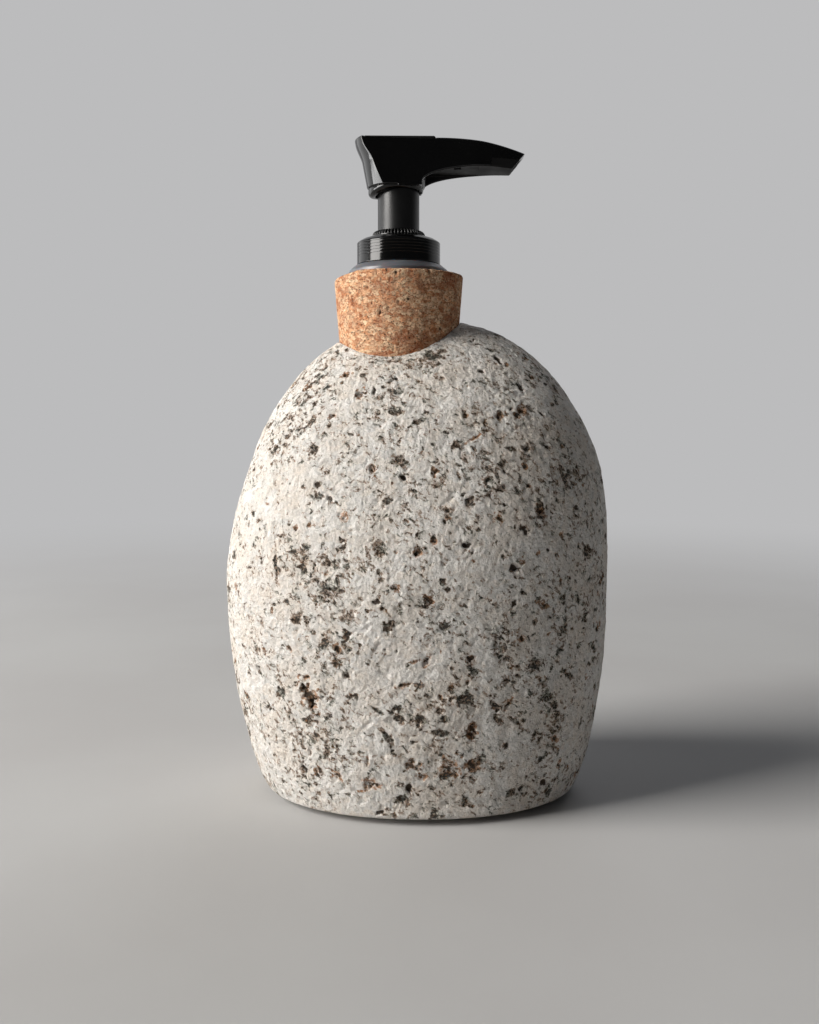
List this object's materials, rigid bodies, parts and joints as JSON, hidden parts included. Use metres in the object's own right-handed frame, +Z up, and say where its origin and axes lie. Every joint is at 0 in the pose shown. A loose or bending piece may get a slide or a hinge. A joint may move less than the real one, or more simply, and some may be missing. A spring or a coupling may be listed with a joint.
{
  "type": "soap pump dispenser",
  "caption": "Upright pebble of speckled granite, drilled as a soap reservoir and closed by a tapered cork stopper that carries a threaded neck and a black press-down lotion pump.",
  "frame": {"origin": "middle of the part's footprint, on the surface that its pads stand on", "axes": "+Z up, +X towards the spout, -Y is the front, as the part is seen with its spout to the right"},
  "size_m": [0.1276, 0.092, 0.2155],
  "materials": {
    "stone": "matt speckled granite",
    "pad_rubber": "clear soft bumper",
    "cork": "ground agglomerated cork",
    "frosted_plastic": "translucent frosted polypropylene",
    "black_gloss": "polished moulded polypropylene",
    "black_satin": "satin moulded polypropylene",
    "gasket": "foamed polyethylene liner",
    "natural_plastic": "natural translucent polypropylene",
    "spring_steel": "bright stainless steel"
  },
  "bodies": {
    "stone": {"stone_body": "stone", "foot_pads": "pad_rubber"},
    "stopper": {"cork_stopper": "cork", "neck_adaptor": "frosted_plastic"},
    "pump": {"pump_housing": "natural_plastic", "guide_ring": "black_gloss", "neck_gasket": "gasket", "dip_tube": "natural_plastic", "return_spring": "spring_steel"},
    "collar": {"screw_collar": "black_gloss"},
    "plunger": {"piston": "natural_plastic"},
    "head": {"stem": "black_satin", "valve_rod": "natural_plastic", "pump_head": "black_gloss", "thumb_pad": "black_gloss"},
    "ball": {"inlet_ball": "spring_steel"}
  },
  "joints": [
    {"name": "stopper_lift", "type": "slide", "parent": "stone", "child": "stopper", "axis": [0, 0, 1], "range_m": [0, 0.14]},
    {"name": "pump_lift", "type": "slide", "parent": "stopper", "child": "pump", "axis": [0, 0, 1], "range_m": [0, 0.0048]},
    {"name": "collar_turn", "type": "hinge", "parent": "pump", "child": "collar", "pos_m": [-0.0062, 0, 0.178], "axis": [0, 0, 1], "range_deg": [0, 540]},
    {"name": "head_press", "type": "slide", "parent": "pump", "child": "plunger", "axis": [0, 0, -1], "range_m": [0, 0.0104], "stiffness_N_per_m": 1200, "springref_m": -0.003, "deforming": ["return_spring"]},
    {"name": "head_turn", "type": "hinge", "parent": "plunger", "child": "head", "pos_m": [-0.0062, 0, 0.2], "axis": [0, 0, 1], "continuous": true},
    {"name": "inlet_ball_lift", "type": "slide", "parent": "pump", "child": "ball", "axis": [0, 0, 1], "range_m": [0, 0.0016]}
  ],
  "couplings": [
    {"joint": "pump_lift", "follows": "collar_turn", "m_per_rad": 0.00050532}
  ]
}
